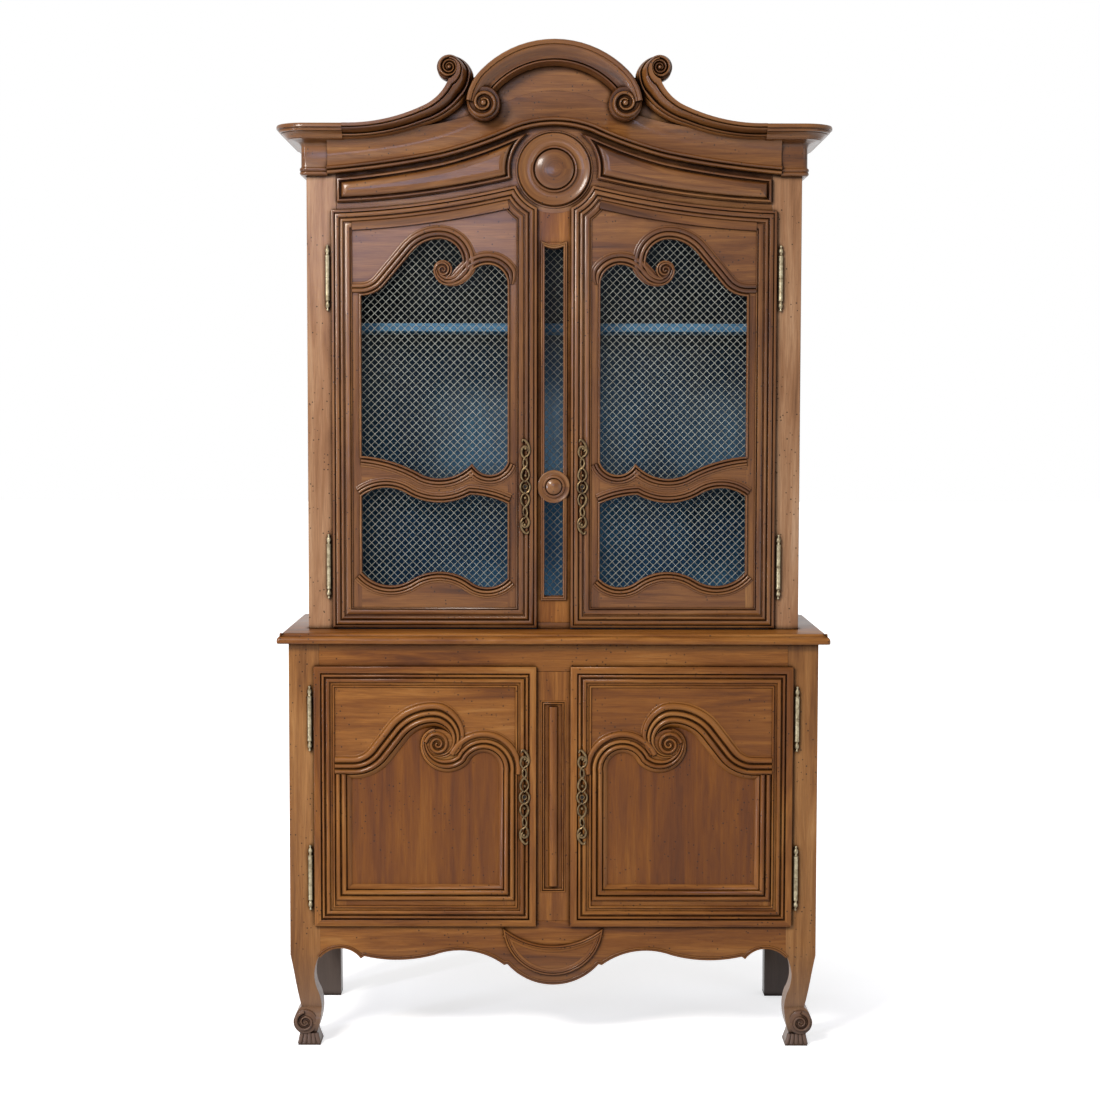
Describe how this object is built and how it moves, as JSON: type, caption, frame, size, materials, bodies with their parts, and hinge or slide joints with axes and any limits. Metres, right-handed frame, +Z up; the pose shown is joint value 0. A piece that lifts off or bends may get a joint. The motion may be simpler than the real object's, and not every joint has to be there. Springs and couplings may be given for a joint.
{
  "type": "two-part cupboard",
  "caption": "Tall carved walnut cupboard in two stages: panelled doors on cabriole legs below, wire-grille doors under a scrolled cornice above, with hinges and rim locks.",
  "frame": {"origin": "on the floor under the middle of the cupboard's box", "axes": "+Z up, front towards -Y, +X to the right of someone facing the front"},
  "size_m": [1.33, 0.496, 2.4],
  "materials": {
    "walnut": "waxed, satin",
    "painted_boards": "matt blue paint",
    "inner_boards": "unfinished, planed",
    "aged_brass": "aged, worn bright on edges",
    "brass_wire": "dull drawn wire",
    "iron": "dark, filed"
  },
  "bodies": {
    "case": {"lower_front_posts": "walnut", "lower_back_posts": "walnut", "lower_top_rail": "walnut", "lower_apron": "walnut", "lower_centre_stile": "walnut", "lower_side_rails": "walnut", "lower_side_panels": "walnut", "lower_back_boards": "inner_boards", "lower_floor": "inner_boards", "lower_shelf": "inner_boards", "counter_top": "walnut", "upper_front_posts": "walnut", "upper_back_posts": "walnut", "upper_side_rails": "walnut", "upper_side_panels": "walnut", "upper_back_boards": "painted_boards", "upper_floor": "painted_boards", "upper_ceiling": "painted_boards", "upper_shelves": "painted_boards", "shelf_cleats": "inner_boards", "upper_frieze": "walnut", "upper_centre_stile": "walnut", "centre_grille": "brass_wire", "cornice_fascia": "walnut", "cornice_bed_moulding": "walnut", "cornice_end_mouldings": "walnut", "cornice_scroll_mouldings": "walnut", "hinge_pins": "aged_brass"},
    "upper_left_door": {"upper_left_door_stiles": "walnut", "upper_left_door_top_rail": "walnut", "upper_left_door_middle_rail": "walnut", "upper_left_door_bottom_rail": "walnut", "upper_left_door_grille": "brass_wire", "upper_left_door_escutcheon": "aged_brass", "upper_left_door_lock_case": "iron", "upper_left_door_hinge_knuckles": "aged_brass"},
    "upper_left_lock_bolt": {"upper_left_door_lock_bolt": "iron"},
    "upper_right_door": {"upper_right_door_stiles": "walnut", "upper_right_door_top_rail": "walnut", "upper_right_door_middle_rail": "walnut", "upper_right_door_bottom_rail": "walnut", "upper_right_door_grille": "brass_wire", "upper_right_door_escutcheon": "aged_brass", "upper_right_door_lock_case": "iron", "upper_right_door_hinge_knuckles": "aged_brass"},
    "upper_right_lock_bolt": {"upper_right_door_lock_bolt": "iron"},
    "lower_left_door": {"lower_left_door_stiles": "walnut", "lower_left_door_rails": "walnut", "lower_left_door_panel": "walnut", "lower_left_door_escutcheon": "aged_brass", "lower_left_door_lock_case": "iron", "lower_left_door_hinge_knuckles": "aged_brass"},
    "lower_left_lock_bolt": {"lower_left_door_lock_bolt": "iron"},
    "lower_right_door": {"lower_right_door_stiles": "walnut", "lower_right_door_rails": "walnut", "lower_right_door_panel": "walnut", "lower_right_door_escutcheon": "aged_brass", "lower_right_door_lock_case": "iron", "lower_right_door_hinge_knuckles": "aged_brass"},
    "lower_right_lock_bolt": {"lower_right_door_lock_bolt": "iron"}
  },
  "joints": [
    {"name": "upper_left_door_hinge", "type": "hinge", "parent": "case", "child": "upper_left_door", "pos_m": [-0.5445, -0.1355, 1.341], "axis": [0, 0, -1], "range_deg": [0, 170]},
    {"name": "upper_left_lock_bolt_slide", "type": "slide", "parent": "upper_left_door", "child": "upper_left_lock_bolt", "axis": [1, 0, 0], "range_m": [0, 0.012]},
    {"name": "upper_right_door_hinge", "type": "hinge", "parent": "case", "child": "upper_right_door", "pos_m": [0.5445, -0.1355, 1.341], "axis": [0, 0, 1], "range_deg": [0, 170]},
    {"name": "upper_right_lock_bolt_slide", "type": "slide", "parent": "upper_right_door", "child": "upper_right_lock_bolt", "axis": [-1, 0, 0], "range_m": [0, 0.012]},
    {"name": "lower_left_door_hinge", "type": "hinge", "parent": "case", "child": "lower_left_door", "pos_m": [-0.583, -0.2275, 0.601], "axis": [0, 0, -1], "range_deg": [0, 170]},
    {"name": "lower_left_lock_bolt_slide", "type": "slide", "parent": "lower_left_door", "child": "lower_left_lock_bolt", "axis": [1, 0, 0], "range_m": [0, 0.012]},
    {"name": "lower_right_door_hinge", "type": "hinge", "parent": "case", "child": "lower_right_door", "pos_m": [0.583, -0.2275, 0.601], "axis": [0, 0, 1], "range_deg": [0, 170]},
    {"name": "lower_right_lock_bolt_slide", "type": "slide", "parent": "lower_right_door", "child": "lower_right_lock_bolt", "axis": [-1, 0, 0], "range_m": [0, 0.012]}
  ]
}
